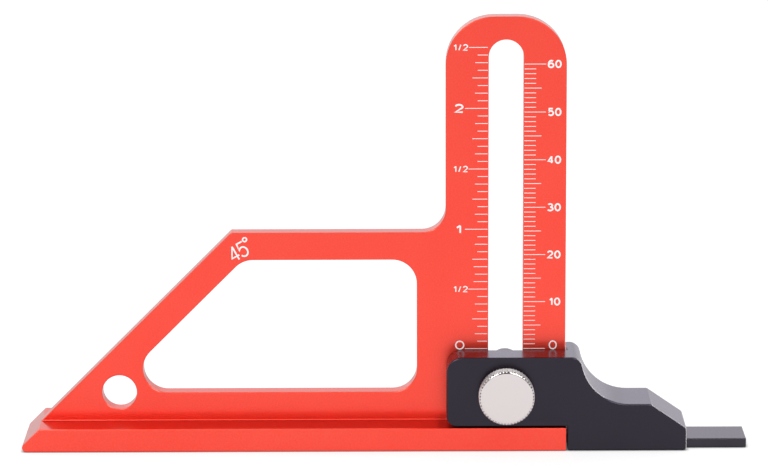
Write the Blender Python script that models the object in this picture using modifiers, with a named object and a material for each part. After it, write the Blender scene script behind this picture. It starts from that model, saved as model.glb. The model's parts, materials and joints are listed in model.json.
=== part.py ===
"""Saw blade height gauge.

A T-section frame stands on its base beside a saw blade. A slider runs up the frame's slotted
tower, and carries a measuring tongue over the blade. A thumb knob and a T-nut clamp the slider
to the tower. All lengths are in metres, +Z is up, and the front of the gauge faces -Y.

The drawing datum is the frame's lower front right corner: x runs to the right of it, y runs
back from the base's front face, and z runs up from the base's underside. The finished gauge
stands with the middle of its outer box over the world's origin.
"""

import math

import bmesh
import bpy

# Frame: one bar of T section, cut to an outline
FRAME_LENGTH = 0.1143
BASE_DEPTH = 0.0185
BASE_HEIGHT = 0.0049
PLATE_THICKNESS = 0.0040
MITRE_ANGLE = math.radians(45)
NOSE_RADIUS = 0.00095
ARM_HEIGHT = 0.0449
ARM_CORNER_RADIUS = 0.0005
TOWER_WIDTH = 0.0249
TOWER_HEIGHT = 0.0900
TOWER_CORNER_RADIUS = 0.0100
TOWER_ROOT_RADIUS = 0.0050

# Window between the mitred bar, the arm, the tower and the base
MITRE_BAR = 0.0058
ARM_BAR = 0.0058
TOWER_STEM = 0.0060
WINDOW_SILL = 0.0060
WINDOW_RADIUS = 0.0051

# Slot in the tower, and the hole for hanging the gauge up
SLOT_WIDTH = 0.0072
SLOT_TOP_WALL = 0.0048
SLOT_SILL = 0.0005
HANGING_HOLE_DIAMETER = 0.0072
HANGING_HOLE_FROM_MITRE = 0.0073
HANGING_HOLE_ABOVE_BASE = 0.0061

# Slider: a cheek in front of the tower, and a stepped block to the right of it
SLIDE_GAP = 0.0003
SLIDER_LIFT = 0.0001
SLIDER_HEIGHT = 0.0198
SLIDER_DEPTH = 0.0144
CHEEK_WIDTH = 0.0251
CHEEK_CLEARANCE = 0.0004
CHEEK_TOP_RADIUS = 0.0032
CHEEK_BOTTOM_RADIUS = 0.0020
BLOCK_LENGTH = 0.0247
STEP_HEIGHT = 0.0098
STEP_END = 0.0172
STEP_CORNER_RADIUS = 0.0010
TOE_HEIGHT = 0.00465
TOE_RADIUS = 0.0010
HEEL_RADIUS = 0.0005
SCOOP_RADIUS = 0.0100
SCOOP_CENTRE = 0.01285
SHOULDER_RADIUS = 0.0023

# Measuring tongue, let into the underside of the block
TONGUE_WIDTH = 0.0100
TONGUE_THICKNESS = 0.0019
TONGUE_REACH = 0.0125
TONGUE_ROOT = 0.0120
FIT_GAP = 0.0003

# Clamp: a knurled knob on a threaded stud, drawn up by a T-nut behind the tower
CLAMP_HEIGHT = 0.0120
STUD_DIAMETER = 0.0040
STUD_CHAMFER = 0.0004
STUD_END_SETBACK = 0.0003
KNOB_DIAMETER = 0.0116
KNOB_THICKNESS = 0.0030
KNOB_CHAMFER = 0.0003
KNOB_SHOULDER_WIDTH = 0.00075
KNOB_SHOULDER_TURN = math.radians(48)
KNOB_FACE_WALL = 0.0012
KNURL_DEPTH = 0.00022
NUT_FLANGE_SIZE = 0.0120
NUT_FLANGE_THICKNESS = 0.0025
NUT_FLANGE_RADIUS = 0.0010
NUT_BOSS_CLEARANCE = 0.0002
NUT_BOSS_DROP = 0.0010
NUT_BOSS_SETBACK = 0.0003

# Edges, cuts and fineness
FRAME_EDGE_BREAK = 0.0002
SLIDER_EDGE_BREAK = 0.00025
SMALL_EDGE_BREAK = 0.00015
OVERRUN = 0.0020
WELD_DISTANCE = 1e-7
SLIVER = 2e-6
FLAT_ANGLE = math.radians(0.05)
BEVEL_SEGMENTS = 2
ARC_STEP = math.radians(6)
SHARP_ANGLE = math.radians(30)
KNURL_COUNT = 52
KNURL_ROWS = 6
SHOULDER_STEPS = 4
STUD_STEPS = 32

# Places that follow from the sizes above
LEDGE_DEPTH = (BASE_DEPTH - PLATE_THICKNESS) / 2
PLATE_BACK = LEDGE_DEPTH + PLATE_THICKNESS
SLOT_CENTRE = -TOWER_WIDTH / 2
SLOT_FLOOR = BASE_HEIGHT + SLOT_SILL
SLOT_TOP = TOWER_HEIGHT - SLOT_TOP_WALL
SLIDER_TOP = SLIDER_LIFT + SLIDER_HEIGHT
CHEEK_LEFT = SLIDE_GAP - CHEEK_WIDTH
CHEEK_BOTTOM = BASE_HEIGHT + CHEEK_CLEARANCE
CHEEK_BACK = LEDGE_DEPTH - SLIDE_GAP
BLOCK_RIGHT = SLIDE_GAP + BLOCK_LENGTH
CLAMP_AXIS_HEIGHT = SLIDER_LIFT + CLAMP_HEIGHT
KNOB_FACE = -FIT_GAP - KNOB_THICKNESS
NUT_FRONT = PLATE_BACK + SLIDE_GAP
NUT_BACK = NUT_FRONT + NUT_FLANGE_THICKNESS
NOSE_TIP = -FRAME_LENGTH + NOSE_RADIUS * (1 / math.tan(MITRE_ANGLE / 2) - 1)
TONGUE_TIP = BLOCK_RIGHT + TONGUE_REACH
DATUM = (-(NOSE_TIP + TONGUE_TIP) / 2, -(KNOB_FACE + BASE_DEPTH) / 2, 0)


def clear_scene():
    """Remove whatever the file holds."""
    for obj in list(bpy.data.objects):
        bpy.data.objects.remove(obj, do_unlink=True)


def make_collection(name):
    """Add a collection under the scene."""
    collection = bpy.data.collections.new(name)
    bpy.context.scene.collection.children.link(collection)
    return collection


def make_material(name, colour, roughness, metallic):
    """Plain finish for one sub-part."""
    material = bpy.data.materials.new(name)
    material.use_nodes = True
    shader = material.node_tree.nodes["Principled BSDF"]
    shader.inputs["Base Color"].default_value = (*colour, 1)
    shader.inputs["Roughness"].default_value = roughness
    shader.inputs["Metallic"].default_value = metallic
    return material


def arc(centre, radius, start, end):
    """Points along an arc, both ends included."""
    steps = max(2, math.ceil(abs(end - start) / ARC_STEP))
    angles = [start + (end - start) * step / steps for step in range(steps + 1)]
    return [(centre[0] + radius * math.cos(a), centre[1] + radius * math.sin(a)) for a in angles]


def rounded_outline(corners):
    """Closed outline through corners (u, v, radius), each rounded to its own radius."""
    points = []
    for index, (u, v, radius) in enumerate(corners):
        if radius == 0:
            points.append((u, v))
            continue
        before = corners[index - 1]
        after = corners[(index + 1) % len(corners)]
        heading_in = math.atan2(v - before[1], u - before[0])
        heading_out = math.atan2(after[1] - v, after[0] - u)
        turn = math.remainder(heading_out - heading_in, math.tau)
        setback = radius * abs(math.tan(turn / 2))
        side = math.copysign(math.pi / 2, turn)
        start = heading_in - side
        centre = (
            u - setback * math.cos(heading_in) - radius * math.cos(start),
            v - setback * math.sin(heading_in) - radius * math.sin(start),
        )
        points += arc(centre, radius, start, start + turn)
    return points


def stadium_outline(centre, low, high, width):
    """Upright slot with round ends."""
    radius = width / 2
    top = arc((centre, high - radius), radius, 0, math.pi)
    bottom = arc((centre, low + radius), radius, math.pi, math.tau)
    return top + bottom


def circle_outline(centre, diameter):
    """Full circle, without its closing point."""
    return arc(centre, diameter / 2, 0, math.tau)[:-1]


def weld_mesh(mesh):
    """Close the seams of a converted curve, make its caps plain and turn its faces outwards."""
    work = bmesh.new()
    work.from_mesh(mesh)
    bmesh.ops.remove_doubles(work, verts=work.verts, dist=WELD_DISTANCE)
    bmesh.ops.dissolve_limit(work, angle_limit=FLAT_ANGLE, verts=work.verts, edges=work.edges)
    bmesh.ops.recalc_face_normals(work, faces=work.faces)
    work.to_mesh(mesh)
    work.free()


def prism(name, loops, depth, collection):
    """Solid of one depth from closed outlines; the first is the outside, the rest are holes."""
    curve = bpy.data.curves.new(name, "CURVE")
    curve.dimensions = "2D"
    curve.fill_mode = "BOTH"
    curve.extrude = depth / 2
    for loop in loops:
        spline = curve.splines.new("POLY")
        spline.points.add(len(loop) - 1)
        for point, (u, v) in zip(spline.points, loop):
            point.co = (u, v, 0, 1)
        spline.use_cyclic_u = True
    outline = bpy.data.objects.new(name + "_outline", curve)
    collection.objects.link(outline)
    depsgraph = bpy.context.evaluated_depsgraph_get()
    mesh = bpy.data.meshes.new_from_object(outline.evaluated_get(depsgraph))
    weld_mesh(mesh)
    solid = bpy.data.objects.new(name, mesh)
    collection.objects.link(solid)
    bpy.data.objects.remove(outline)
    return solid


def face_front(obj, x, y, z):
    """Place a piece drawn in its own XY plane so that it is seen from the front."""
    obj.rotation_euler = (math.pi / 2, 0, 0)
    obj.location = (DATUM[0] + x, DATUM[1] + y, DATUM[2] + z)


def face_right(obj, x, y, z):
    """Place a piece drawn in its own XY plane so that it is seen from the right."""
    obj.rotation_euler = (math.pi / 2, 0, math.pi / 2)
    obj.location = (DATUM[0] + x, DATUM[1] + y, DATUM[2] + z)


def box(name, lows, highs, collection):
    """Block between two corners, measured from the datum, with its size in its mesh."""
    sizes = [high - low for low, high in zip(lows, highs)]
    mesh = bpy.data.meshes.new(name)
    work = bmesh.new()
    bmesh.ops.create_cube(work, size=1)
    bmesh.ops.scale(work, vec=sizes, verts=work.verts)
    work.to_mesh(mesh)
    work.free()
    obj = bpy.data.objects.new(name, mesh)
    collection.objects.link(obj)
    obj.location = [base + (low + high) / 2 for base, low, high in zip(DATUM, lows, highs)]
    return obj


def turned(name, profile, steps, collection):
    """Solid of revolution about its own Z, from a profile that runs from the top down."""
    mesh = bpy.data.meshes.new(name)
    points = [(radius, 0, height) for radius, height in profile]
    edges = [(index, index + 1) for index in range(len(points) - 1)]
    mesh.from_pydata(points, edges, [])
    obj = bpy.data.objects.new(name, mesh)
    collection.objects.link(obj)
    screw = obj.modifiers.new("Turn", "SCREW")
    screw.steps = steps
    screw.render_steps = steps
    screw.use_merge_vertices = True
    screw.merge_threshold = WELD_DISTANCE
    return obj


def apply_shape(obj):
    """Make the modifiers' result the piece's own mesh."""
    depsgraph = bpy.context.evaluated_depsgraph_get()
    mesh = bpy.data.meshes.new_from_object(obj.evaluated_get(depsgraph))
    obj.modifiers.clear()
    obj.data = mesh


def boolean(obj, other, operation):
    """Join, cut or trim one piece by another."""
    modifier = obj.modifiers.new(other.name, "BOOLEAN")
    modifier.operation = operation
    modifier.solver = "EXACT"
    modifier.object = other


def break_edges(obj, width):
    """Small rounding on every sharp edge, as tumbling before anodising leaves."""
    weld = obj.modifiers.new("Weld", "WELD")
    weld.merge_threshold = SLIVER
    bevel = obj.modifiers.new("Edge break", "BEVEL")
    bevel.width = width
    bevel.segments = BEVEL_SEGMENTS
    bevel.limit_method = "ANGLE"
    bevel.angle_limit = SHARP_ANGLE


def finish_piece(obj, material):
    """Give a piece its finish and smooth shading between sharp edges."""
    obj.data.materials.clear()
    obj.data.materials.append(material)
    obj.data.shade_smooth()
    obj.data.set_sharp_from_angle(angle=SHARP_ANGLE)


def as_cutter(obj):
    """Keep a cutting body out of the picture."""
    obj.hide_render = True
    obj.display_type = "WIRE"
    return obj


def mitre_run(height):
    """How far the mitred end leans over at a height above the base's underside."""
    return height / math.tan(MITRE_ANGLE)


def frame_outline():
    """Front view of the frame."""
    return rounded_outline([
        (-FRAME_LENGTH, 0, NOSE_RADIUS),
        (0, 0, 0),
        (0, TOWER_HEIGHT, TOWER_CORNER_RADIUS),
        (-TOWER_WIDTH, TOWER_HEIGHT, TOWER_CORNER_RADIUS),
        (-TOWER_WIDTH, ARM_HEIGHT, TOWER_ROOT_RADIUS),
        (mitre_run(ARM_HEIGHT) - FRAME_LENGTH, ARM_HEIGHT, ARM_CORNER_RADIUS),
    ])


def window_outline():
    """Opening whose left side follows the mitred end."""
    right = -TOWER_WIDTH - TOWER_STEM
    low = BASE_HEIGHT + WINDOW_SILL
    high = ARM_HEIGHT - ARM_BAR
    inset = MITRE_BAR / math.sin(MITRE_ANGLE) - FRAME_LENGTH
    return rounded_outline([
        (right, low, WINDOW_RADIUS),
        (right, high, WINDOW_RADIUS),
        (mitre_run(high) + inset, high, WINDOW_RADIUS),
        (mitre_run(low) + inset, low, WINDOW_RADIUS),
    ])


def hanging_hole_outline():
    """Round hole in the acute corner of the plate."""
    height = BASE_HEIGHT + HANGING_HOLE_ABOVE_BASE
    inset = HANGING_HOLE_FROM_MITRE / math.sin(MITRE_ANGLE) - FRAME_LENGTH
    return circle_outline((mitre_run(height) + inset, height), HANGING_HOLE_DIAMETER)


def bar_section():
    """T section in the YZ plane; it runs past the outline above and below."""
    top = TOWER_HEIGHT + OVERRUN
    return [
        (0, -OVERRUN),
        (BASE_DEPTH, -OVERRUN),
        (BASE_DEPTH, BASE_HEIGHT),
        (PLATE_BACK, BASE_HEIGHT),
        (PLATE_BACK, top),
        (LEDGE_DEPTH, top),
        (LEDGE_DEPTH, BASE_HEIGHT),
        (0, BASE_HEIGHT),
    ]


def build_frame(parts, cutters, material):
    """T bar trimmed to the frame's outline, with the window, slot and hole cut through."""
    frame = prism("frame", [bar_section()], FRAME_LENGTH + 2 * OVERRUN, parts)
    face_right(frame, -FRAME_LENGTH / 2, 0, 0)
    slot = stadium_outline(SLOT_CENTRE, SLOT_FLOOR, SLOT_TOP, SLOT_WIDTH)
    loops = [frame_outline(), window_outline(), slot, hanging_hole_outline()]
    trim = as_cutter(prism("frame_trim", loops, BASE_DEPTH + 2 * OVERRUN, cutters))
    face_front(trim, 0, BASE_DEPTH / 2, 0)
    boolean(frame, trim, "INTERSECT")
    break_edges(frame, FRAME_EDGE_BREAK)
    finish_piece(frame, material)
    return frame


def slider_outline():
    """Front view of the slider, clockwise from the shoulder over the block."""
    step = SLIDER_LIFT + STEP_HEIGHT
    scoop_centre = (SLIDE_GAP + SCOOP_CENTRE, step + SCOOP_RADIUS)
    shoulder_height = SLIDER_TOP - SHOULDER_RADIUS
    rise = scoop_centre[1] - shoulder_height
    reach = SCOOP_RADIUS + SHOULDER_RADIUS
    run = math.sqrt(reach * reach - rise * rise)
    lean = math.atan2(rise, run)
    shoulder_centre = (scoop_centre[0] - run, shoulder_height)
    shoulder = arc(shoulder_centre, SHOULDER_RADIUS, math.pi / 2, lean)
    scoop = arc(scoop_centre, SCOOP_RADIUS, math.pi + lean, math.pi * 3 / 2)
    curve = [(u, v, 0) for u, v in shoulder + scoop[1:]]
    return rounded_outline(curve + [
        (SLIDE_GAP + STEP_END, step, STEP_CORNER_RADIUS),
        (BLOCK_RIGHT, SLIDER_LIFT + TOE_HEIGHT, TOE_RADIUS),
        (BLOCK_RIGHT, SLIDER_LIFT, HEEL_RADIUS),
        (SLIDE_GAP, SLIDER_LIFT, 0),
        (SLIDE_GAP, CHEEK_BOTTOM, 0),
        (CHEEK_LEFT, CHEEK_BOTTOM, CHEEK_BOTTOM_RADIUS),
        (CHEEK_LEFT, SLIDER_TOP, CHEEK_TOP_RADIUS),
    ])


def rebate_outline():
    """Room for the tower behind the cheek and for the base below it, in the YZ plane."""
    back = SLIDER_DEPTH + OVERRUN
    top = SLIDER_TOP + OVERRUN
    ceiling = CHEEK_BOTTOM - WELD_DISTANCE
    return [
        (-OVERRUN, -OVERRUN),
        (back, -OVERRUN),
        (back, top),
        (CHEEK_BACK, top),
        (CHEEK_BACK, ceiling),
        (-OVERRUN, ceiling),
    ]


def clamp_bore(name, depth, collection):
    """Cutter on the clamp's axis with running clearance round the stud, centred on its depth."""
    outline = circle_outline((0, 0), STUD_DIAMETER + 2 * FIT_GAP)
    return as_cutter(prism(name, [outline], depth, collection))


def build_slider(parts, cutters, material):
    """Stepped block with a rebate that fits round the tower's right edge.

    The rebate goes one welding distance past the outline's notch, so that one cut makes the
    whole wall that faces the tower.
    """
    slider = prism("slider", [slider_outline()], SLIDER_DEPTH, parts)
    face_front(slider, 0, SLIDER_DEPTH / 2, 0)
    left = CHEEK_LEFT - OVERRUN
    right = SLIDE_GAP + WELD_DISTANCE
    rebate = as_cutter(prism("slider_rebate", [rebate_outline()], right - left, cutters))
    face_right(rebate, (left + right) / 2, 0, 0)
    boolean(slider, rebate, "DIFFERENCE")
    groove_half = TONGUE_WIDTH / 2 + FIT_GAP
    groove_top = SLIDER_LIFT + TONGUE_THICKNESS + FIT_GAP
    groove = as_cutter(box(
        "tongue_groove",
        (BLOCK_RIGHT - TONGUE_ROOT - FIT_GAP, SLIDER_DEPTH / 2 - groove_half, -OVERRUN),
        (BLOCK_RIGHT + OVERRUN, SLIDER_DEPTH / 2 + groove_half, groove_top),
        cutters,
    ))
    boolean(slider, groove, "DIFFERENCE")
    bore = clamp_bore("slider_bore", CHEEK_BACK + 2 * OVERRUN, cutters)
    face_front(bore, SLOT_CENTRE, CHEEK_BACK / 2, CLAMP_AXIS_HEIGHT)
    boolean(slider, bore, "DIFFERENCE")
    break_edges(slider, SLIDER_EDGE_BREAK)
    finish_piece(slider, material)
    return slider


def build_tongue(parts, material):
    """Flat strip let into the underside of the block."""
    tongue = box(
        "measuring_tongue",
        (BLOCK_RIGHT - TONGUE_ROOT, (SLIDER_DEPTH - TONGUE_WIDTH) / 2, SLIDER_LIFT),
        (TONGUE_TIP, (SLIDER_DEPTH + TONGUE_WIDTH) / 2, SLIDER_LIFT + TONGUE_THICKNESS),
        parts,
    )
    break_edges(tongue, SMALL_EDGE_BREAK)
    finish_piece(tongue, material)
    return tongue


def knurled_band():
    """Height at which the knurl starts below the knob's rounded shoulder, and the knurl's length."""
    curve = KNOB_SHOULDER_WIDTH / math.sin(KNOB_SHOULDER_TURN)
    top = KNOB_THICKNESS - curve * (1 - math.cos(KNOB_SHOULDER_TURN))
    return top, top - KNOB_CHAMFER


def knob_profile():
    """Half section of the knob, from the middle of its face round to the end of its bore."""
    radius = KNOB_DIAMETER / 2
    bore_radius = STUD_DIAMETER / 2 + FIT_GAP
    bore_depth = KNOB_THICKNESS - KNOB_FACE_WALL
    curve = KNOB_SHOULDER_WIDTH / math.sin(KNOB_SHOULDER_TURN)
    turns = [KNOB_SHOULDER_TURN * step / SHOULDER_STEPS for step in range(SHOULDER_STEPS)]
    shoulder = [
        (
            radius - KNOB_SHOULDER_WIDTH + curve * math.sin(turn),
            KNOB_THICKNESS - curve * (1 - math.cos(turn)),
        )
        for turn in turns
    ]
    top, band = knurled_band()
    rows = [(radius, top - band * row / KNURL_ROWS) for row in range(KNURL_ROWS + 1)]
    return [
        (0, KNOB_THICKNESS),
        *shoulder,
        *rows,
        (radius - KNOB_CHAMFER, 0),
        (bore_radius, 0),
        (bore_radius, bore_depth),
        (0, bore_depth),
    ]


def press_knurl(knob):
    """Press crossed grooves into the rim: every second crossing of rows and columns goes in."""
    radius = KNOB_DIAMETER / 2
    top, band = knurled_band()
    work = bmesh.new()
    work.from_mesh(knob.data)
    pressed = set()
    for vertex in work.verts:
        distance = math.hypot(vertex.co.x, vertex.co.y)
        if abs(distance - radius) > WELD_DISTANCE:
            continue
        column = round(math.atan2(vertex.co.y, vertex.co.x) * KNURL_COUNT / math.pi)
        row = round((top - vertex.co.z) * KNURL_ROWS / band)
        if (column + row) % 2 == 0:
            pressed.add(vertex)
    for vertex in pressed:
        vertex.co.xy *= 1 - KNURL_DEPTH / radius
    for face in list(work.faces):
        low = [vertex for vertex in face.verts if vertex in pressed]
        if len(face.verts) == 4 and len(low) == 2:
            bmesh.ops.connect_verts(work, verts=low)
    work.to_mesh(knob.data)
    work.free()


def build_knob(parts, material):
    """Round knob with a diamond knurl on its rim."""
    knob = turned("thumb_knob", knob_profile(), 2 * KNURL_COUNT, parts)
    apply_shape(knob)
    press_knurl(knob)
    face_front(knob, SLOT_CENTRE, -FIT_GAP, CLAMP_AXIS_HEIGHT)
    finish_piece(knob, material)
    return knob


def build_stud(parts, material):
    """Stud from inside the knob to the back of the nut."""
    radius = STUD_DIAMETER / 2
    front = KNOB_FACE + KNOB_FACE_WALL + FIT_GAP
    length = NUT_BACK - STUD_END_SETBACK - front
    profile = [
        (0, length),
        (radius - STUD_CHAMFER, length),
        (radius, length - STUD_CHAMFER),
        (radius, STUD_CHAMFER),
        (radius - STUD_CHAMFER, 0),
        (0, 0),
    ]
    stud = turned("clamp_stud", profile, STUD_STEPS, parts)
    face_front(stud, SLOT_CENTRE, front + length, CLAMP_AXIS_HEIGHT)
    finish_piece(stud, material)
    return stud


def build_nut(parts, cutters, material):
    """T-nut: a square flange behind the tower and a round-ended boss in its slot."""
    half = NUT_FLANGE_SIZE / 2
    corners = ((-half, -half), (half, -half), (half, half), (-half, half))
    square = rounded_outline([(u, v, NUT_FLANGE_RADIUS) for u, v in corners])
    nut = prism("clamp_nut", [square], NUT_FLANGE_THICKNESS, parts)
    face_front(nut, SLOT_CENTRE, NUT_FRONT + NUT_FLANGE_THICKNESS / 2, CLAMP_AXIS_HEIGHT)
    low = SLOT_FLOOR + SLIDE_GAP - CLAMP_AXIS_HEIGHT
    high = SLIDER_TOP - NUT_BOSS_DROP - CLAMP_AXIS_HEIGHT
    outline = stadium_outline(0, low, high, SLOT_WIDTH - 2 * NUT_BOSS_CLEARANCE)
    boss_front = LEDGE_DEPTH + NUT_BOSS_SETBACK
    boss_back = NUT_FRONT + NUT_FLANGE_THICKNESS / 2
    boss = as_cutter(prism("nut_boss", [outline], boss_back - boss_front, cutters))
    face_front(boss, SLOT_CENTRE, (boss_front + boss_back) / 2, CLAMP_AXIS_HEIGHT)
    boolean(nut, boss, "UNION")
    bore = clamp_bore("nut_bore", NUT_BACK - boss_front + 2 * OVERRUN, cutters)
    face_front(bore, SLOT_CENTRE, (boss_front + NUT_BACK) / 2, CLAMP_AXIS_HEIGHT)
    boolean(nut, bore, "DIFFERENCE")
    break_edges(nut, SMALL_EDGE_BREAK)
    finish_piece(nut, material)
    return nut


def make_slide_empty(parts, pieces):
    """Everything that travels up the tower hangs on one empty on the clamp's axis."""
    empty = bpy.data.objects.new("slider_travel", None)
    parts.objects.link(empty)
    empty.location = (DATUM[0] + SLOT_CENTRE, DATUM[1], DATUM[2] + CLAMP_AXIS_HEIGHT)
    bpy.context.view_layer.update()
    for piece in pieces:
        piece.parent = empty
        piece.matrix_parent_inverse = empty.matrix_world.inverted()


def main():
    """Build the whole gauge."""
    clear_scene()
    parts = make_collection("saw_blade_height_gauge")
    cutters = make_collection("cutters")
    red = make_material("red_anodised", (0.80, 0.055, 0.035), 0.42, 0.35)
    black = make_material("black_anodised", (0.035, 0.032, 0.040), 0.38, 0.25)
    dark_steel = make_material("dark_steel", (0.050, 0.048, 0.056), 0.34, 0.60)
    plated = make_material("plated_steel", (0.76, 0.74, 0.73), 0.22, 1.0)
    build_frame(parts, cutters, red)
    moving = [
        build_slider(parts, cutters, black),
        build_tongue(parts, dark_steel),
        build_knob(parts, plated),
        build_stud(parts, plated),
        build_nut(parts, cutters, dark_steel),
    ]
    make_slide_empty(parts, moving)


main()
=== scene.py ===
"""Looks of the saw blade height gauge: finishes, scales, thread, knurl, studio and camera.

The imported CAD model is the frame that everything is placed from. Lengths are in metres, +Z is
up and the front of the gauge faces -Y. Places on the scales are measured from the drawing datum,
the lower front right corner of the red frame: x runs to the right of it and z runs up.
"""

import json
import math

import bmesh
import bpy
from mathutils import Matrix, Vector


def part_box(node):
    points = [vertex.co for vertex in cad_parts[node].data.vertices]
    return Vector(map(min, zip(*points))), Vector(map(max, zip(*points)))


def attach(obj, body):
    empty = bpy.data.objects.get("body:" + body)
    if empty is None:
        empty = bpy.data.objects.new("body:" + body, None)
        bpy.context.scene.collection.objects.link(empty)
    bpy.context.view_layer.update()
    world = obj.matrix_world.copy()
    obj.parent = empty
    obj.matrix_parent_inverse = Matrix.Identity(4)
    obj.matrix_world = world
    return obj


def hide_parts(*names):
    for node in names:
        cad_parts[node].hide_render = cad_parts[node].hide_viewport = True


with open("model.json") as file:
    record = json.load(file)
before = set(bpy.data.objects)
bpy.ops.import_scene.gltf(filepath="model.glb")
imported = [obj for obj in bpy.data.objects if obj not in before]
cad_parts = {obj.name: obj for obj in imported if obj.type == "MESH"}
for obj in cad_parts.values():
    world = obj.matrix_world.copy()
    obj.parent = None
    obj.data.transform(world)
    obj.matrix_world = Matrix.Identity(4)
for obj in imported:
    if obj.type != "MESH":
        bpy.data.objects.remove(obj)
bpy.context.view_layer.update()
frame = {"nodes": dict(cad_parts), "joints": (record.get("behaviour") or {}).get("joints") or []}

# Places taken from the CAD model
FRAME_LOW, FRAME_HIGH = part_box("frame")
STUD_LOW, STUD_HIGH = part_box("clamp_stud")
KNOB_LOW, KNOB_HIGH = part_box("thumb_knob")
DATUM = Vector((FRAME_HIGH.x, FRAME_LOW.y, FRAME_LOW.z))
CLAMP_AXIS = (STUD_LOW + STUD_HIGH) / 2
THREAD_PITCH = next(j["range_m"][1] for j in frame["joints"] if j["name"] == "nut_release")

# The plate's front face behind the base's front face, and how the marks stand on it
PLATE_SETBACK = 0.00725
MARK_LIFT = 0.00001
MARK_THICKNESS = 0.00003
STROKE_STEP = 0.000002

# Both scales start from the slider's zero line
ZERO_HEIGHT = 0.02014
LINE_WIDTH = 0.00013
MILLIMETRE = 0.001
INCH = 0.0254

# Millimetre scale, to the right of the slot
MILLIMETRE_COUNT = 60
FIVE_STEP = 5
TEN_STEP = 10
MILLIMETRE_LEFT = -0.00869
MILLIMETRE_LINE = 0.00237
FIVE_LINE = 0.00350
TEN_LINE = 0.00442
MILLIMETRE_NUMBER_RIGHT = -0.00108
MILLIMETRE_NUMBER_HEIGHT = 0.00173
MILLIMETRE_DIGIT_WIDTH = 0.00134
MILLIMETRE_ZERO_RIGHT = -0.00177
MILLIMETRE_ZERO_WIDTH = 0.00170

# Inch scale, to the left of the slot
SIXTEENTH_COUNT = 40
SIXTEENTHS_PER_INCH = 16
INCH_RIGHT = -0.01626
INCH_LINE = 0.00465
HALF_LINE = 0.00393
QUARTER_LINE = 0.00314
EIGHTH_LINE = 0.00259
SIXTEENTH_LINE = 0.00207
LONG_SIXTEENTHS = (9, 11)
LONG_SIXTEENTH_LINE = 0.00284
SIXTEENTHS_AND_LINES = ((16, INCH_LINE), (8, HALF_LINE), (4, QUARTER_LINE), (2, EIGHTH_LINE))
INCH_NUMBER_RIGHT = {1: -0.02159, 2: -0.02122}
INCH_NUMBER_HEIGHT = 0.00190
INCH_DIGIT_WIDTH = 0.00189
HALF_NUMBER_INCHES = (0.5, 1.5, 2.5)
HALF_NUMBER_RIGHT = -0.02031
HALF_NUMBER_HEIGHT = 0.00137
HALF_DIGIT_WIDTH = 0.00106
HALF_FIGURE_GAP = 0.00032
INCH_ZERO_RIGHT = -0.02101
INCH_ZERO_WIDTH = 0.00195

# Figures
ZERO_FIGURE_HEIGHT = 0.00193
ZERO_FIGURE_RISE = 0.00075
INCH_STROKE = 0.00036
MILLIMETRE_STROKE = 0.00033
HALF_STROKE = 0.00023
ZERO_STROKE = 0.00026
FIGURE_GAP = 0.00018
ONE_WIDTH_SHARE = 0.62
SLASH_WIDTH_SHARE = 0.58
ARC_STEP = math.radians(15)
MITRE_LIMIT = 1.4

# Mark beside the mitred end
ANGLE_MARK_X = -0.06882
ANGLE_MARK_Z = 0.03847
ANGLE_MARK_TILT = math.radians(29)
ANGLE_MARK_HEIGHT = 0.00342
ANGLE_DIGIT_WIDTH = 0.00205
ANGLE_DIGIT_STEP = 0.00197
ANGLE_MARK_STROKE = 0.00034
DEGREE_ALONG = 0.00441
DEGREE_UP = 0.00329
DEGREE_RADIUS = 0.00042
DEGREE_STROKE = 0.00030

# Thread of the clamp's stud; the gain flattens its crest to a fifth of the pitch
THREAD_DEPTH = 0.00038
CREST_GAIN = 1.25
THREAD_AROUND = 24
THREAD_PER_PITCH = 6

# Knurled knob
KNURL_COUNT = 52
KNURL_ROWS = 10
KNURL_DEPTH = 0.00036
GROOVE_DEPTH = "groove_depth"
KNOB_SHOULDER_WIDTH = 0.00075
KNOB_SHOULDER_TURN = math.radians(40)
KNOB_SHOULDER_STEPS = 8
KNOB_BACK_CHAMFER = 0.0003
KNOB_BORE_RADIUS = 0.0023
KNOB_FACE_WALL = 0.0012

# Smoothing of the CAD model's curves
SEAM_DISTANCE = 1e-6
CURVE_ANGLE = math.radians(15)

# Noise that the finishes are made of
NOISE_MIDDLE = 0.5
GRAIN_DETAIL = 2.0
GRAIN_ROUGHNESS = 0.6
DRIFT_DETAIL = 3.0

# Edges lightened partly as rubbed wear and partly as a painted highlight; on the slider they fade in
# towards its right side, where the light falls
EDGE_SAMPLES = 6
HIGHLIGHT_SIDE = (1, 0, 0)
HIGHLIGHT_SIDE_FADE = (0.36, 0.48)

# Coloured metals. Grain and drift are noise scales, contrast and fleck say how far the grain
# shades the colour and shifts it towards the deeper one, and the side share keeps the edge colour,
# partly wear and partly painted highlight, to the shoulder's side, where the light falls
METAL_IOR = 1.5
RED_LOOK = {
    "colour": (0.96, 0.079, 0.048, 1),
    "deep_colour": (0.94, 0.057, 0.032, 1),
    "worn_and_highlight_colour": (0.55, 0.17, 0.15, 1),
    "tint": (0.22, 0.34, 0.36, 1),
    "coat": 0.55,
    "coat_roughness": 0.14,
    "grain": 2800.0,
    "contrast": 0.12,
    "fleck": 3.0,
    "drift": 55.0,
    "edge_reach": 0.00022,
    "edge_gain": 2.5,
    "highlight_side_share": 0.0,
    "wear_and_highlight_share": 0.25,
    "roughness": (0.28, 0.36),
    "metallic": 0.92,
    "bump": 0.30,
    "bump_distance": 0.00002,
}
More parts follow.
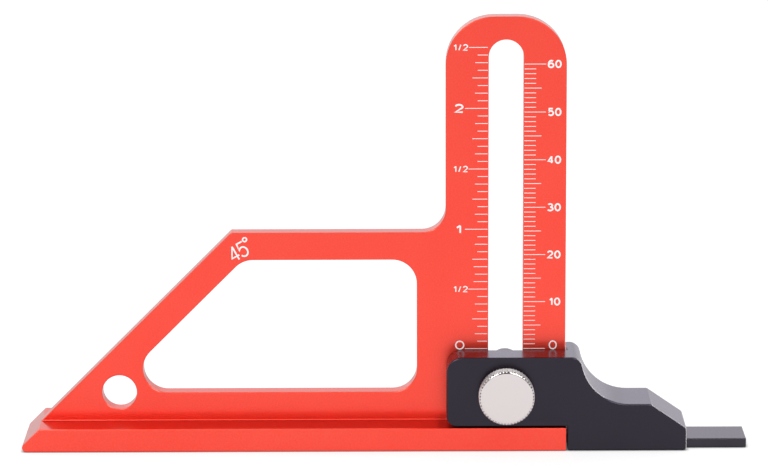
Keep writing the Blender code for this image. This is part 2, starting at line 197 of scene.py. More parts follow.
# On the black slider the near-white edge colour is a painted highlight along its lit edges
BLACK_LOOK = {
    "colour": (0.040, 0.035, 0.047, 1),
    "deep_colour": (0.034, 0.030, 0.041, 1),
    "worn_and_highlight_colour": (0.94, 0.93, 0.95, 1),
    "tint": (0.95, 0.92, 1.0, 1),
    "coat": 0.0,
    "coat_roughness": 0.1,
    "grain": 5000.0,
    "contrast": 0.20,
    "fleck": 0.3,
    "drift": 90.0,
    "edge_reach": 0.0003,
    "edge_gain": 40.0,
    "highlight_side_share": 1.0,
    "wear_and_highlight_share": 1.0,
    "roughness": (0.24, 0.29),
    "metallic": 1.0,
    "bump": 0.04,
    "bump_distance": 0.00001,
}
DARK_STEEL_LOOK = {
    "colour": (0.051, 0.046, 0.058, 1),
    "deep_colour": (0.044, 0.040, 0.050, 1),
    "worn_and_highlight_colour": (0.30, 0.29, 0.31, 1),
    "tint": (0.845, 0.82, 0.88, 1),
    "coat": 0.0,
    "coat_roughness": 0.1,
    "grain": 4000.0,
    "contrast": 0.25,
    "fleck": 0.5,
    "drift": 120.0,
    "edge_reach": 0.00022,
    "edge_gain": 2.5,
    "highlight_side_share": 0.0,
    "wear_and_highlight_share": 0.08,
    "roughness": (0.20, 0.28),
    "metallic": 1.0,
    "bump": 0.05,
    "bump_distance": 0.00001,
}

# Plate of the knob and the stud, its turning rings, and painted shade in patches in the knurl's
# grooves
PLATE_COLOUR = (0.69, 0.637, 0.637, 1)
PLATE_GRAIN = 3500.0
PLATE_CONTRAST = 0.06
PLATE_ROUGHNESS = (0.05, 0.11)
RING_SCALE = 20000.0
RING_DETAIL = 2.0
RING_BUMP = 0.12
RING_BUMP_DISTANCE = 0.00001
STREAK_SCALE = 900.0
STREAK_DETAIL = 1.0
# Painted shade in the knurl's grooves: where it starts and is full, its patch scale and spread, and
# its dark colour
GROOVE_SHADE_REACH = (0.42, 0.80)
GROOVE_SHADE_PATCHES = 1800.0
GROOVE_SHADE_SPREAD = 1.2
GROOVE_SHADE_COLOUR = (0.05, 0.045, 0.045, 1)

# White of the marks
MARK_COLOUR = (0.92, 0.90, 0.90, 1)
MARK_GRAIN = 9000.0
MARK_CONTRAST = 0.12
MARK_ROUGHNESS = (0.5, 0.7)

# Camera, fitted to the photograph
CAMERA_LENS_MM = 191.34
CAMERA_SENSOR_MM = 36
CAMERA_PLACE = Vector((0.000053, -0.827240, 0.219042))
CAMERA_PITCH = math.radians(11.913)
CAMERA_ROLL = math.radians(0.181)

# Table, which glows for the camera and for what mirrors it
WHITE = (1, 1, 1, 1)
FLOOR_HALF = 2.5
FLOOR_ROUGHNESS = 0.9
FLOOR_GRAIN = 200.0
FLOOR_CONTRAST = 0.02
FLOOR_COLOUR = (0.80, 0.80, 0.80, 1)
SEEN_FLOOR_COLOUR = (0.34, 0.34, 0.34, 1)
FLOOR_GLOW = 0.74
MIRRORED_NEAR_GLOW = 0.71
MIRRORED_FAR_GLOW = 0.50
MIRRORED_REACH = (0.15, 0.55)
# Painted contact shadow: ambient occlusion dims the table's glow within this reach of the gauge
CONTACT_REACH = 0.0008
CONTACT_DEPTH = 1.5
CONTACT_SAMPLES = 8

# Room and lamps
WALL_STRENGTH = 1.0
BACK_STRENGTH = 1.55
BACK_RIGHT_STRENGTH = 1.32
FRONT_LOW_STRENGTH = 0.50
FRONT_HIGH_STRENGTH = 0.80
BACK_REACH = (0.3, 0.8)
BACK_RIGHT_REACH = (0.05, 0.18)
FRONT_REACH = (0.50, 0.90)
FRONT_SILL = (0.12, 0.35)
CEILING_STRENGTH = 0.45
CEILING_SILL = (0.78, 0.95)
SLOT_STRENGTH = 0.14
SLOT_SPREAD = 7.5
SLOT_SIDES = (0.0, 0.25)
SLOT_SILL = (-0.01, 0.04)
SLOT_TOP = (0.60, 0.75)
KEY_PLACE = Vector((0.31, -0.95, 0.44))
KEY_SIZE = 0.28
KEY_POWER = 1.8
FILL_PLACE = Vector((-0.31, -0.95, 0.44))
FILL_SIZE = 0.28
FILL_POWER = 1.6
LIGHT_TARGET = Vector((0, 0, 0.03))


def link_object(obj):
    """Put an object into the scene."""
    bpy.context.scene.collection.objects.link(obj)
    return obj


def make_object(name, work, material):
    """Turn a finished bmesh into an object of the scene."""
    mesh = bpy.data.meshes.new(name)
    bmesh.ops.recalc_face_normals(work, faces=work.faces)
    work.to_mesh(mesh)
    work.free()
    mesh.materials.append(material)
    return link_object(bpy.data.objects.new(name, mesh))


def add_node(tree, kind, inputs=None, **settings):
    """Add a node, set its properties, and set or link its named inputs."""
    node = tree.nodes.new(kind)
    for key, value in settings.items():
        setattr(node, key, value)
    for key, value in (inputs or {}).items():
        if isinstance(value, bpy.types.NodeSocket):
            tree.links.new(value, node.inputs[key])
        else:
            node.inputs[key].default_value = value
    return node


def start_group(name, inputs, outputs):
    """Empty shader node group with named inputs and outputs; returns its tree, inlet and outlet."""
    tree = bpy.data.node_groups.new(name, "ShaderNodeTree")
    for label, kind in inputs:
        tree.interface.new_socket(label, in_out="INPUT", socket_type=kind)
    for label, kind in outputs:
        tree.interface.new_socket(label, in_out="OUTPUT", socket_type=kind)
    return tree, tree.nodes.new("NodeGroupInput"), tree.nodes.new("NodeGroupOutput")


def place_group(tree, group, **values):
    """Place a shader node group in a material and set its inputs."""
    node = add_node(tree, "ShaderNodeGroup", node_tree=group)
    for label, value in values.items():
        node.inputs[label].default_value = value
    return node


def maths(tree, operation, first, second=0.0, third=0.0, **settings):
    """One Math node; returns its result."""
    inputs = {0: first, 1: second, 2: third}
    return add_node(tree, "ShaderNodeMath", inputs, operation=operation, **settings).outputs[0]


def vector_maths(tree, operation, first, second=(0, 0, 0), result="Vector"):
    """One Vector Math node; returns one of its results."""
    inputs = {0: first, 1: second}
    return add_node(tree, "ShaderNodeVectorMath", inputs, operation=operation).outputs[result]


def ramp(tree, value, ends):
    """Smooth rise from 0 to 1 between two values."""
    node = add_node(
        tree,
        "ShaderNodeMapRange",
        {"Value": value, "From Min": ends[0], "From Max": ends[1]},
        interpolation_type="SMOOTHSTEP",
    )
    return node.outputs[0]


def grain_group():
    """Fine blasted grain: a shade that multiplies a colour, and a height for a bump."""
    tree, inlet, outlet = start_group(
        "fine_grain",
        [("Grain", "NodeSocketFloat"), ("Contrast", "NodeSocketFloat")],
        [("Shade", "NodeSocketFloat"), ("Height", "NodeSocketFloat")],
    )
    place = add_node(tree, "ShaderNodeTexCoord").outputs["Object"]
    noise = add_node(
        tree,
        "ShaderNodeTexNoise",
        {
            "Vector": place,
            "Scale": inlet.outputs["Grain"],
            "Detail": GRAIN_DETAIL,
            "Roughness": GRAIN_ROUGHNESS,
        },
    ).outputs[0]
    swing = maths(tree, "SUBTRACT", noise, NOISE_MIDDLE)
    shade = maths(tree, "MULTIPLY_ADD", swing, inlet.outputs["Contrast"], 1.0)
    tree.links.new(shade, outlet.inputs["Shade"])
    tree.links.new(noise, outlet.inputs["Height"])
    return tree


def drift_group():
    """Slow change of tone over a surface, from 0 to 1."""
    tree, inlet, outlet = start_group(
        "tone_drift", [("Scale", "NodeSocketFloat")], [("Tone", "NodeSocketFloat")]
    )
    place = add_node(tree, "ShaderNodeTexCoord").outputs["Object"]
    noise = add_node(
        tree,
        "ShaderNodeTexNoise",
        {"Vector": place, "Scale": inlet.outputs["Scale"], "Detail": DRIFT_DETAIL},
    ).outputs[0]
    tree.links.new(noise, outlet.inputs["Tone"])
    return tree


def edge_group():
    """Mask of the edges that handling rubs bright and where a highlight is painted, from 0 on a face
    to 1 along its edge.
    """
    tree, inlet, outlet = start_group(
        "edge_wear_and_highlight",
        [
            ("Reach", "NodeSocketFloat"),
            ("Gain", "NodeSocketFloat"),
            ("Side", "NodeSocketVector"),
            ("Side Share", "NodeSocketFloat"),
        ],
        [("Mask", "NodeSocketFloat")],
    )
    rounded = add_node(
        tree, "ShaderNodeBevel", {"Radius": inlet.outputs["Reach"]}, samples=EDGE_SAMPLES
    ).outputs[0]
    plain = add_node(tree, "ShaderNodeNewGeometry").outputs["Normal"]
    likeness = vector_maths(tree, "DOT_PRODUCT", rounded, plain, "Value")
    turn = maths(tree, "SUBTRACT", 1.0, likeness)
    mask = maths(tree, "MULTIPLY", turn, inlet.outputs["Gain"], use_clamp=True)
    # Fade towards one side: the side where the painted edge highlight is lit
    facing = vector_maths(tree, "DOT_PRODUCT", rounded, inlet.outputs["Side"], "Value")
    towards = ramp(tree, facing, HIGHLIGHT_SIDE_FADE)
    kept = mix_values(tree, inlet.outputs["Side Share"], 1.0, towards)
    tree.links.new(maths(tree, "MULTIPLY", mask, kept), outlet.inputs["Mask"])
    return tree


def turning_group():
    """Rings and streaks that a lathe tool leaves on a face turned about an axis along Y."""
    tree, inlet, outlet = start_group(
        "turning_rings",
        [("Centre", "NodeSocketVector"), ("Rings", "NodeSocketFloat")],
        [("Height", "NodeSocketFloat"), ("Streak", "NodeSocketFloat")],
    )
    place = add_node(tree, "ShaderNodeTexCoord").outputs["Object"]
    arm = vector_maths(tree, "SUBTRACT", place, inlet.outputs["Centre"])
    flat = vector_maths(tree, "MULTIPLY", arm, (1, 0, 1))
    radius = vector_maths(tree, "LENGTH", flat, result="Value")
    rings = add_node(
        tree,
        "ShaderNodeTexNoise",
        {"W": radius, "Scale": inlet.outputs["Rings"], "Detail": RING_DETAIL},
        noise_dimensions="1D",
    ).outputs[0]
    streak = add_node(
        tree,
        "ShaderNodeTexNoise",
        {"Vector": flat, "Scale": STREAK_SCALE, "Detail": STREAK_DETAIL},
    ).outputs[0]
    tree.links.new(rings, outlet.inputs["Height"])
    tree.links.new(streak, outlet.inputs["Streak"])
    return tree


def start_material(name, **constants):
    """Material with one Principled shader; constants go straight onto its sockets."""
    material = bpy.data.materials.new(name)
    material.use_nodes = True
    tree = material.node_tree
    shader = tree.nodes["Principled BSDF"]
    for label, value in constants.items():
        shader.inputs[label.replace("_", " ")].default_value = value
    return material, tree, shader


def mix_colours(tree, factor, first, second, blend="MIX"):
    """One colour Mix node; returns its result."""
    node = add_node(tree, "ShaderNodeMix", data_type="RGBA", blend_type=blend)
    for key, value in ((0, factor), (6, first), (7, second)):
        if isinstance(value, bpy.types.NodeSocket):
            tree.links.new(value, node.inputs[key])
        else:
            node.inputs[key].default_value = value
    return node.outputs[2]


def mix_values(tree, factor, first, second):
    """One number Mix node; returns its result."""
    return add_node(tree, "ShaderNodeMix", {0: factor, 2: first, 3: second}).outputs[0]


def range_map(tree, value, low, high):
    """Map 0..1 to low..high."""
    node = add_node(tree, "ShaderNodeMapRange", {"Value": value, "To Min": low, "To Max": high})
    return node.outputs[0]


def bump(tree, height, strength, distance):
    """One Bump node; returns its normal."""
    node = add_node(
        tree,
        "ShaderNodeBump",
        {"Height": height, "Strength": strength, "Distance": distance},
    )
    return node.outputs[0]


def shaded(tree, colour, shade):
    """A colour multiplied by a grey shade."""
    grey = add_node(tree, "ShaderNodeCombineColor", {0: shade, 1: shade, 2: shade}).outputs[0]
    return mix_colours(tree, 1.0, colour, grey, blend="MULTIPLY")


def coloured_metal(name, groups, look):
    """Anodised or blackened metal: fine grain, slow drift of tone, and edges lightened by rubbing
    and by a painted highlight.
    """
    material, tree, shader = start_material(
        name,
        Metallic=look["metallic"],
        IOR=METAL_IOR,
        Specular_Tint=look["tint"],
        Coat_Weight=look["coat"],
        Coat_Roughness=look["coat_roughness"],
    )
    grain = place_group(tree, groups["grain"], Grain=look["grain"], Contrast=look["contrast"])
    drift = place_group(tree, groups["drift"], Scale=look["drift"])
    edge = place_group(tree, groups["edge"], Reach=look["edge_reach"], Gain=look["edge_gain"])
    # Keeps the painted edge highlight to the side where the light falls
    edge.inputs["Side"].default_value = HIGHLIGHT_SIDE
    edge.inputs["Side Share"].default_value = look["highlight_side_share"]
    fleck = maths(tree, "SUBTRACT", grain.outputs["Height"], NOISE_MIDDLE)
    tone = maths(tree, "MULTIPLY_ADD", fleck, look["fleck"], drift.outputs["Tone"])
    body = mix_colours(tree, tone, look["colour"], look["deep_colour"])
    grained = shaded(tree, body, grain.outputs["Shade"])
    # Edge colour: partly rubbed wear, partly a painted highlight along the edges
    worn_and_highlit = maths(tree, "MULTIPLY", edge.outputs["Mask"], look["wear_and_highlight_share"])
    final = mix_colours(tree, worn_and_highlit, grained, look["worn_and_highlight_colour"])
    tree.links.new(final, shader.inputs["Base Color"])
    rough = range_map(tree, grain.outputs["Height"], *look["roughness"])
    tree.links.new(rough, shader.inputs["Roughness"])
    if look["metallic"] < 1:
        metal = range_map(tree, worn_and_highlit, look["metallic"], 1.0)
        tree.links.new(metal, shader.inputs["Metallic"])
    normal = bump(tree, grain.outputs["Height"], look["bump"], look["bump_distance"])
    tree.links.new(normal, shader.inputs["Normal"])
    return material


def plated_metal(groups):
    """Bright nickel plate with faint turning rings and with painted shade in the knurl's grooves."""
    material, tree, shader = start_material("plated_steel_finish", Metallic=1.0)
    turning = place_group(tree, groups["turning"], Centre=CLAMP_AXIS, Rings=RING_SCALE)
    grain = place_group(tree, groups["grain"], Grain=PLATE_GRAIN, Contrast=PLATE_CONTRAST)
    body = shaded(tree, PLATE_COLOUR, grain.outputs["Shade"])
    # A dark colour painted into the grooves in patches: painted shade where the diamonds shadow one
    # another
    depth = add_node(tree, "ShaderNodeAttribute", attribute_name=GROOVE_DEPTH).outputs["Fac"]
    patches = place_group(tree, groups["drift"], Scale=GROOVE_SHADE_PATCHES).outputs["Tone"]
    swing = maths(tree, "SUBTRACT", patches, NOISE_MIDDLE)
    level = maths(tree, "MULTIPLY_ADD", swing, GROOVE_SHADE_SPREAD, depth)
    groove_shade = ramp(tree, level, GROOVE_SHADE_REACH)
    final = mix_colours(tree, groove_shade, body, GROOVE_SHADE_COLOUR)
    tree.links.new(final, shader.inputs["Base Color"])
    rough = range_map(tree, turning.outputs["Streak"], *PLATE_ROUGHNESS)
    tree.links.new(rough, shader.inputs["Roughness"])
    normal = bump(tree, turning.outputs["Height"], RING_BUMP, RING_BUMP_DISTANCE)
    tree.links.new(normal, shader.inputs["Normal"])
    return material


def mark_material(groups):
    """White of the marked lines and figures, a little chalky."""
    material, tree, shader = start_material("mark_white")
    grain = place_group(tree, groups["grain"], Grain=MARK_GRAIN, Contrast=MARK_CONTRAST)
    body = shaded(tree, MARK_COLOUR, grain.outputs["Shade"])
    tree.links.new(body, shader.inputs["Base Color"])
    rough = range_map(tree, grain.outputs["Height"], *MARK_ROUGHNESS)
    tree.links.new(rough, shader.inputs["Roughness"])
    return material


def floor_material(groups):
    """White table that keeps the gauge's shadow, with a painted contact shadow in its glow, and dims
    towards the front where it is mirrored.
    """
    material, tree, shader = start_material(
        "white_table", Roughness=FLOOR_ROUGHNESS, Emission_Color=WHITE
    )
    grain = place_group(tree, groups["grain"], Grain=FLOOR_GRAIN, Contrast=FLOOR_CONTRAST)
    path = add_node(tree, "ShaderNodeLightPath")
    seen = maths(tree, "MAXIMUM", path.outputs["Is Camera Ray"], path.outputs["Is Glossy Ray"])
    colour = mix_colours(tree, seen, FLOOR_COLOUR, SEEN_FLOOR_COLOUR)
    body = shaded(tree, colour, grain.outputs["Shade"])
    tree.links.new(body, shader.inputs["Base Color"])
    # Ambient occlusion darkens the glow next to the gauge: a painted contact shadow
    contact = add_node(
        tree, "ShaderNodeAmbientOcclusion", {"Distance": CONTACT_REACH}, samples=CONTACT_SAMPLES
    )
    openness = maths(tree, "POWER", contact.outputs["AO"], CONTACT_DEPTH)
    place = add_node(tree, "ShaderNodeTexCoord").outputs["Object"]
    parts = add_node(tree, "ShaderNodeSeparateXYZ", {"Vector": place}).outputs
    far = ramp(tree, maths(tree, "MULTIPLY", parts["Y"], -1.0), MIRRORED_REACH)
    mirrored = mix_values(tree, far, MIRRORED_NEAR_GLOW, MIRRORED_FAR_GLOW)
    glow = mix_values(tree, path.outputs["Is Glossy Ray"], FLOOR_GLOW, mirrored)
    shown = maths(tree, "MULTIPLY", glow, seen)
    strength = maths(tree, "MULTIPLY", shown, openness)
    tree.links.new(strength, shader.inputs["Emission Strength"])
    return material


def curves_group():
    """Modifier group that joins the CAD mesh's triangles and shades its curves as curves."""
    tree = bpy.data.node_groups.new("curve_shading", "GeometryNodeTree")
    tree.interface.new_socket("Mesh", in_out="INPUT", socket_type="NodeSocketGeometry")
    tree.interface.new_socket("Mesh", in_out="OUTPUT", socket_type="NodeSocketGeometry")
    inlet = tree.nodes.new("NodeGroupInput")
    outlet = tree.nodes.new("NodeGroupOutput")
    joined = add_node(
        tree,
        "GeometryNodeMergeByDistance",
        {"Geometry": inlet.outputs[0], "Distance": SEAM_DISTANCE},
    )
    turn = add_node(tree, "GeometryNodeInputMeshEdgeAngle").outputs["Unsigned Angle"]
    sharp = add_node(
        tree,
        "FunctionNodeCompare",
        {"A": turn, "B": CURVE_ANGLE},
        data_type="FLOAT",
        operation="GREATER_THAN",
    ).outputs[0]
    shaded_mesh = add_node(
        tree,
        "GeometryNodeSetMeshNormal",
        {
            "Mesh": joined.outputs[0],
            "Remove Custom": True,
            "Edge Sharpness": sharp,
            "Face Sharpness": False,
        },
        mode="SHARPNESS",
    )
    tree.links.new(shaded_mesh.outputs[0], outlet.inputs[0])
    return tree


def smooth_curves(obj, group):
    """Shade a CAD node's curves smoothly and keep its flat faces flat."""
    joined = obj.modifiers.new("Curve shading", "NODES")
    joined.node_group = group
    weighted = obj.modifiers.new("Flat faces", "WEIGHTED_NORMAL")
    weighted.keep_sharp = True


def dress(node, material, group):
    """Give a CAD node its finish and its smooth curves."""
    obj = frame["nodes"][node]
    obj.data.materials.clear()
    obj.data.materials.append(material)
    smooth_curves(obj, group)


def bow(centre, radii, start, end):
    """Part of an ellipse in a figure's own square, from one angle to another in degrees."""
    start, end = math.radians(start), math.radians(end)
    steps = max(2, round(abs(end - start) / ARC_STEP))
    angles = [start + (end - start) * step / steps for step in range(steps + 1)]
    return [
        (centre[0] + radii[0] * math.cos(a), centre[1] + radii[1] * math.sin(a)) for a in angles
    ]


def ring(centre, radii):
    """Whole ellipse in a figure's own square, without its closing point."""
    return bow(centre, radii, 90, 450)[:-1]


# Each figure as strokes through the middle of its lines, in a square from 0 to 1; True is closed
FIGURE_STROKE_SHARES = {
    "0": [(ring((0.5, 0.5), (0.5, 0.5)), True)],
    "1": [([(0.0, 0.72), (0.85, 1.0)], False), ([(0.85, 1.0), (0.85, 0.0)], False)],
    "2": [(bow((0.5, 0.70), (0.48, 0.30), 165, -25) + [(0.0, 0.0), (1.0, 0.0)], False)],
    "3": [
        (bow((0.48, 0.745), (0.42, 0.255), 150, -90), False),
        (bow((0.46, 0.27), (0.54, 0.27), 90, -150), False),
    ],
    "4": [
        ([(0.72, 1.0), (0.0, 0.28), (1.0, 0.28)], False),
        ([(0.72, 0.0), (0.72, 1.0)], False),
    ],
    "5": [
        (
            [(0.92, 1.0), (0.18, 1.0), (0.08, 0.50)] + bow((0.5, 0.33), (0.5, 0.33), 135, -150),
            False,
        ),
    ],
    "6": [
        (ring((0.5, 0.31), (0.5, 0.31)), True),
        (bow((0.56, 0.5), (0.56, 0.5), 55, 180) + [(0.0, 0.31)], False),
    ],
    "/": [([(0.0, 0.0), (1.0, 1.0)], False)],
}
FIGURE_WIDTH_SHARES = {"1": ONE_WIDTH_SHARE, "/": SLASH_WIDTH_SHARE}


def stroke_sides(points, width, closed):
    """Left and right edge points of a line of one width through points."""
    sides = []
    for index, point in enumerate(points):
        headings = []
        if closed or index > 0:
            headings.append((point - points[index - 1]).normalized())
        if closed or index < len(points) - 1:
            headings.append((points[(index + 1) % len(points)] - point).normalized())
        along = sum(headings, Vector((0, 0))).normalized()
        stretch = min(MITRE_LIMIT, 1 / max(along.dot(headings[0]), 1 / MITRE_LIMIT))
        side = Vector((-along.y, along.x)) * width / 2 * stretch
        sides.append((point + side, point - side))
    return sides


def add_stroke(work, points, width, closed, lift):
    """Add one flat stroke, in front view, to the marks."""
    points = [Vector(point) for point in points]
    front = DATUM.y + PLATE_SETBACK - MARK_LIFT - lift
    rows = [
        [work.verts.new((DATUM.x + edge.x, front, DATUM.z + edge.y)) for edge in pair]
        for pair in stroke_sides(points, width, closed)
    ]
    following = rows[1:] + rows[:1] if closed else rows[1:]
    for near, far in zip(rows, following):
        work.faces.new((near[0], near[1], far[1], far[0]))


def add_figure(work, figure, left, bottom, width, height, stroke, tilt=0.0, origin=None):
    """Add one figure whose lines stay inside its width and height."""
    half = stroke / 2
    turn = Matrix.Rotation(tilt, 2)
    origin = origin or Vector((left, bottom))
    for index, (points, closed) in enumerate(FIGURE_STROKE_SHARES[figure]):
        placed = [
            Vector((left + half + u * (width - stroke), bottom + half + v * (height - stroke)))
            for u, v in points
        ]
        turned = [origin + turn @ (point - origin) for point in placed]
        add_stroke(work, turned, stroke, closed, index * STROKE_STEP)


def add_number(work, text, right, middle, digit_width, height, stroke, gap=FIGURE_GAP):
    """Add a number that ends at its right edge and is centred on a height."""
    for figure in reversed(text):
        width = digit_width * FIGURE_WIDTH_SHARES.get(figure, 1)
        add_figure(work, figure, right - width, middle - height / 2, width, height, stroke)
        right -= width + gap


def finish_marks(name, work, material):
    """Make the marks a piece of the frame, as thin as paint."""
    marks = make_object(name, work, material)
    for face in marks.data.polygons:
        if face.normal.y > 0:
            face.flip()
    depth = marks.modifiers.new("Thickness", "SOLIDIFY")
    depth.thickness = MARK_THICKNESS
    depth.offset = -1
    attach(marks, "frame")


def millimetre_line(step):
    """Length of one line of the millimetre scale."""
    if step % TEN_STEP == 0:
        return TEN_LINE
    return FIVE_LINE if step % FIVE_STEP == 0 else MILLIMETRE_LINE


def inch_line(step):
    """Length of one line of the inch scale, counted in sixteenths."""
    if step in LONG_SIXTEENTHS:
        return LONG_SIXTEENTH_LINE
    for sixteenths, length in SIXTEENTHS_AND_LINES:
        if step % sixteenths == 0:
            return length
    return SIXTEENTH_LINE


def build_millimetre_scale(material):
    """Lines and numbers to the right of the slot."""
    lines = bmesh.new()
    for step in range(MILLIMETRE_COUNT + 1):
        height = ZERO_HEIGHT + step * MILLIMETRE
        ends = [(MILLIMETRE_LEFT, height), (MILLIMETRE_LEFT + millimetre_line(step), height)]
        add_stroke(lines, ends, LINE_WIDTH, False, 0)
    finish_marks("millimetre_lines", lines, material)
    numbers = bmesh.new()
    for step in range(TEN_STEP, MILLIMETRE_COUNT + 1, TEN_STEP):
        add_number(
            numbers,
            str(step),
            MILLIMETRE_NUMBER_RIGHT,
            ZERO_HEIGHT + step * MILLIMETRE,
            MILLIMETRE_DIGIT_WIDTH,
            MILLIMETRE_NUMBER_HEIGHT,
            MILLIMETRE_STROKE,
        )
    add_number(
        numbers,
        "0",
        MILLIMETRE_ZERO_RIGHT,
        ZERO_HEIGHT + ZERO_FIGURE_RISE,
        MILLIMETRE_ZERO_WIDTH,
        ZERO_FIGURE_HEIGHT,
        ZERO_STROKE,
    )
    finish_marks("millimetre_numbers", numbers, material)


def build_inch_scale(material):
    """Lines and numbers to the left of the slot."""
    lines = bmesh.new()
    for step in range(SIXTEENTH_COUNT + 1):
        height = ZERO_HEIGHT + step * INCH / SIXTEENTHS_PER_INCH
        ends = [(INCH_RIGHT - inch_line(step), height), (INCH_RIGHT, height)]
        add_stroke(lines, ends, LINE_WIDTH, False, 0)
    finish_marks("inch_lines", lines, material)
    numbers = bmesh.new()
    for whole, right in INCH_NUMBER_RIGHT.items():
        width = INCH_DIGIT_WIDTH
        middle = ZERO_HEIGHT + whole * INCH
        add_number(numbers, str(whole), right, middle, width, INCH_NUMBER_HEIGHT, INCH_STROKE)
    for inches in HALF_NUMBER_INCHES:
        add_number(
            numbers,
            "1/2",
            HALF_NUMBER_RIGHT,
            ZERO_HEIGHT + inches * INCH,
            HALF_DIGIT_WIDTH,
            HALF_NUMBER_HEIGHT,
            HALF_STROKE,
            HALF_FIGURE_GAP,
        )
    add_number(
        numbers,
        "0",
        INCH_ZERO_RIGHT,
        ZERO_HEIGHT + ZERO_FIGURE_RISE,
        INCH_ZERO_WIDTH,
        ZERO_FIGURE_HEIGHT,
        ZERO_STROKE,
    )
    finish_marks("inch_numbers", numbers, material)


def build_angle_mark(material):
    """45 degrees, written up the slope beside the mitred end."""
    work = bmesh.new()
    origin = Vector((ANGLE_MARK_X, ANGLE_MARK_Z))
    left = ANGLE_MARK_X
    for figure in "45":
        add_figure(
            work,
            figure,
            left,
            ANGLE_MARK_Z,
            ANGLE_DIGIT_WIDTH,
            ANGLE_MARK_HEIGHT,
            ANGLE_MARK_STROKE,
            ANGLE_MARK_TILT,
            origin,
        )
        left += ANGLE_DIGIT_STEP
    middle = origin + Matrix.Rotation(ANGLE_MARK_TILT, 2) @ Vector((DEGREE_ALONG, DEGREE_UP))
    add_stroke(work, ring(middle, (DEGREE_RADIUS, DEGREE_RADIUS)), DEGREE_STROKE, True, 0)
    finish_marks("mitre_angle_mark", work, material)


def build_stud(material):
    """Threaded stud in place of the CAD model's plain one."""
    work = bmesh.new()
    length = STUD_HIGH.y - STUD_LOW.y
    radius = (STUD_HIGH.x - STUD_LOW.x) / 2
    count = round(length / THREAD_PITCH * THREAD_PER_PITCH)
    rows = []
    for row in range(count + 1):
        along = length * row / count
        from_end = min(along, length - along)
        crest = min(radius, radius - THREAD_DEPTH + from_end)
        ring_points = []
        for step in range(THREAD_AROUND):
            turn = step / THREAD_AROUND
            phase = (along / THREAD_PITCH - turn) % 1
            flank = 1 - abs(2 * phase - 1)
            here = min(crest, radius - THREAD_DEPTH * (1 - min(1, flank * CREST_GAIN)))
            angle = turn * math.tau
            ring_points.append(work.verts.new((
                CLAMP_AXIS.x + here * math.cos(angle),
                STUD_LOW.y + along,
                CLAMP_AXIS.z + here * math.sin(angle),
            )))
        rows.append(ring_points)
    for near, far in zip(rows, rows[1:]):
        for step in range(THREAD_AROUND):
            after = (step + 1) % THREAD_AROUND
            work.faces.new((near[step], near[after], far[after], far[step]))
    work.faces.new(rows[0])
    work.faces.new(rows[-1])
    stud = make_object("threaded_stud", work, material)
    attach(stud, "clamp_knob")
    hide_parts("clamp_stud")


def knob_profile():
    """Half section of the knob as radius, depth behind its face, and kind of surface."""
    radius = (KNOB_HIGH.x - KNOB_LOW.x) / 2
    length = KNOB_HIGH.y - KNOB_LOW.y
    curve = KNOB_SHOULDER_WIDTH / math.sin(KNOB_SHOULDER_TURN)
    profile = [(0, 0, "flat")]
    for step in range(KNOB_SHOULDER_STEPS):
        turn = KNOB_SHOULDER_TURN * step / KNOB_SHOULDER_STEPS
        reach = radius - KNOB_SHOULDER_WIDTH + curve * math.sin(turn)
        profile.append((reach, curve * (1 - math.cos(turn)), "shoulder"))
    top = curve * (1 - math.cos(KNOB_SHOULDER_TURN))
    band = length - KNOB_BACK_CHAMFER - top
    for row in range(KNURL_ROWS + 1):
        profile.append((radius, top + band * row / KNURL_ROWS, "knurl"))
    return profile + [
        (radius - KNOB_BACK_CHAMFER, length, "flat"),
        (KNOB_BORE_RADIUS, length, "flat"),
        (KNOB_BORE_RADIUS, KNOB_FACE_WALL, "flat"),
        (0, KNOB_FACE_WALL, "flat"),
    ]


def build_knob(material):
    """Thumb knob: flat face, rounded shoulder and a rim with crossed grooves cut to diamonds."""
    columns = 2 * KNURL_COUNT
    radius = (KNOB_HIGH.x - KNOB_LOW.x) / 2
    profile = knob_profile()
    first_row = [kind for _, _, kind in profile].index("knurl")
    work = bmesh.new()
    groove_depth = work.verts.layers.float.new(GROOVE_DEPTH)
    rows = []
    for index, (reach, depth, kind) in enumerate(profile):
        place = KNOB_LOW.y + depth
        if reach == 0:
            rows.append((kind, [work.verts.new((CLAMP_AXIS.x, place, CLAMP_AXIS.z))], []))
            continue
        row, low = [], []
        for column in range(columns):
            crossing = max(index, first_row)
            grooved = kind != "flat" and (crossing + column) % 2 == 0
            here = min(reach, radius - KNURL_DEPTH) if grooved else reach
            angle = column / columns * math.tau
            x = CLAMP_AXIS.x + here * math.cos(angle)
            z = CLAMP_AXIS.z + here * math.sin(angle)
            row.append(work.verts.new((x, place, z)))
            row[-1][groove_depth] = float(here < reach)
            low.append(here < reach)
        rows.append((kind, row, low))
    for (near_kind, near, near_low), (far_kind, far, far_low) in zip(rows, rows[1:]):
        for column in range(columns):
            after = (column + 1) % columns
            if len(near) == 1:
                faces = [(near[0], far[after], far[column])]
            elif len(far) == 1:
                faces = [(near[column], near[after], far[0])]
            else:
                corners = (near[column], near[after], far[after], far[column])
                if near_kind != "knurl" or far_kind != "knurl":
                    faces = [corners]
                elif near_low[column]:
                    faces = [corners[:3], (corners[0], *corners[2:])]
                else:
                    faces = [corners[1:], (*corners[:2], corners[3])]
            lows = [low for low in (near_low, far_low) if low]
            notched = any(low[column] or low[after] for low in lows)
            for face in faces:
                work.faces.new(face).smooth = near_kind == "shoulder" and not notched
    knob = make_object("knurled_knob", work, material)
    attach(knob, "clamp_knob")
    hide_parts("thumb_knob")


def build_floor(material):
    """Table that the gauge stands on."""
    work = bmesh.new()
    bmesh.ops.create_grid(work, x_segments=1, y_segments=1, size=FLOOR_HALF)
    floor = make_object("table", work, material)


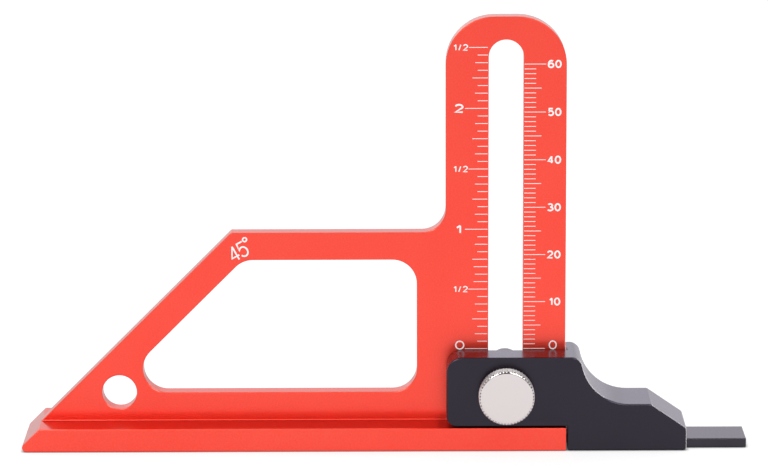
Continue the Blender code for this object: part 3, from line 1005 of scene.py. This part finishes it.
def build_world():
    """White room that the camera sees as plain white.

    Its back is the brightest part, less so on the right. The front is dimmer, most of all low
    down, and so is the ceiling, and a dark slot stands round the camera.
    """
    world = bpy.data.worlds.new("white_room")
    bpy.context.scene.world = world
    world.use_nodes = True
    tree = world.node_tree
    background = tree.nodes["Background"]
    background.inputs["Color"].default_value = WHITE
    heading = add_node(tree, "ShaderNodeTexCoord").outputs["Generated"]
    parts = add_node(tree, "ShaderNodeSeparateXYZ", {"Vector": heading}).outputs
    high = ramp(tree, parts["Z"], CEILING_SILL)
    aside = maths(tree, "ABSOLUTE", parts["X"])
    forward = maths(tree, "MULTIPLY", parts["Y"], -1.0)
    back = ramp(tree, parts["Y"], BACK_REACH)
    front = ramp(tree, forward, FRONT_REACH)
    raised = ramp(tree, parts["Z"], FRONT_SILL)
    ahead = range_map(tree, raised, FRONT_LOW_STRENGTH, FRONT_HIGH_STRENGTH)
    right = ramp(tree, parts["X"], BACK_RIGHT_REACH)
    behind = mix_values(tree, right, BACK_STRENGTH, BACK_RIGHT_STRENGTH)
    walls = mix_values(tree, back, WALL_STRENGTH, behind)
    walls = mix_values(tree, front, walls, ahead)
    room = mix_values(tree, high, walls, CEILING_STRENGTH)
    within = maths(tree, "MULTIPLY_ADD", aside, -SLOT_SPREAD, forward)
    side = ramp(tree, within, SLOT_SIDES)
    above = ramp(tree, parts["Z"], SLOT_SILL)
    below = maths(tree, "SUBTRACT", 1.0, ramp(tree, parts["Z"], SLOT_TOP))
    slot = maths(tree, "MULTIPLY", side, maths(tree, "MULTIPLY", above, below))
    lit = mix_values(tree, slot, room, SLOT_STRENGTH)
    seen = add_node(tree, "ShaderNodeLightPath").outputs["Is Camera Ray"]
    plain = mix_values(tree, seen, lit, 1.0)
    tree.links.new(plain, background.inputs["Strength"])


def add_softbox(name, place, size, power):
    """Square lamp that faces the gauge."""
    lamp = bpy.data.lights.new(name, "AREA")
    lamp.size = size
    lamp.energy = power
    obj = link_object(bpy.data.objects.new(name, lamp))
    obj.location = place
    obj.rotation_euler = (LIGHT_TARGET - place).to_track_quat("-Z", "Y").to_euler()


def build_camera():
    """Camera where the photograph was taken from."""
    lens = bpy.data.cameras.new("photo_camera")
    lens.lens = CAMERA_LENS_MM
    lens.sensor_width = CAMERA_SENSOR_MM
    camera = link_object(bpy.data.objects.new("photo_camera", lens))
    tilt = Matrix.Rotation(math.pi / 2 - CAMERA_PITCH, 4, "X")
    roll = Matrix.Rotation(-CAMERA_ROLL, 4, "Z")
    camera.matrix_world = Matrix.Translation(CAMERA_PLACE) @ tilt @ roll
    bpy.context.scene.camera = camera


def main():
    """Dress the gauge, light it and set the camera."""
    groups = {
        "grain": grain_group(),
        "drift": drift_group(),
        "edge": edge_group(),
        "turning": turning_group(),
    }
    curves = curves_group()
    red = coloured_metal("red_anodised_finish", groups, RED_LOOK)
    black = coloured_metal("black_anodised_finish", groups, BLACK_LOOK)
    dark_steel = coloured_metal("dark_steel_finish", groups, DARK_STEEL_LOOK)
    plated = plated_metal(groups)
    white = mark_material(groups)
    dress("frame", red, curves)
    dress("slider", black, curves)
    dress("measuring_tongue", dark_steel, curves)
    dress("clamp_nut", dark_steel, curves)
    build_millimetre_scale(white)
    build_inch_scale(white)
    build_angle_mark(white)
    build_knob(plated)
    build_stud(plated)
    build_floor(floor_material(groups))
    build_world()
    add_softbox("key_light", KEY_PLACE, KEY_SIZE, KEY_POWER)
    add_softbox("fill_light", FILL_PLACE, FILL_SIZE, FILL_POWER)
    build_camera()
    bpy.context.scene.view_settings.view_transform = "Standard"


main()
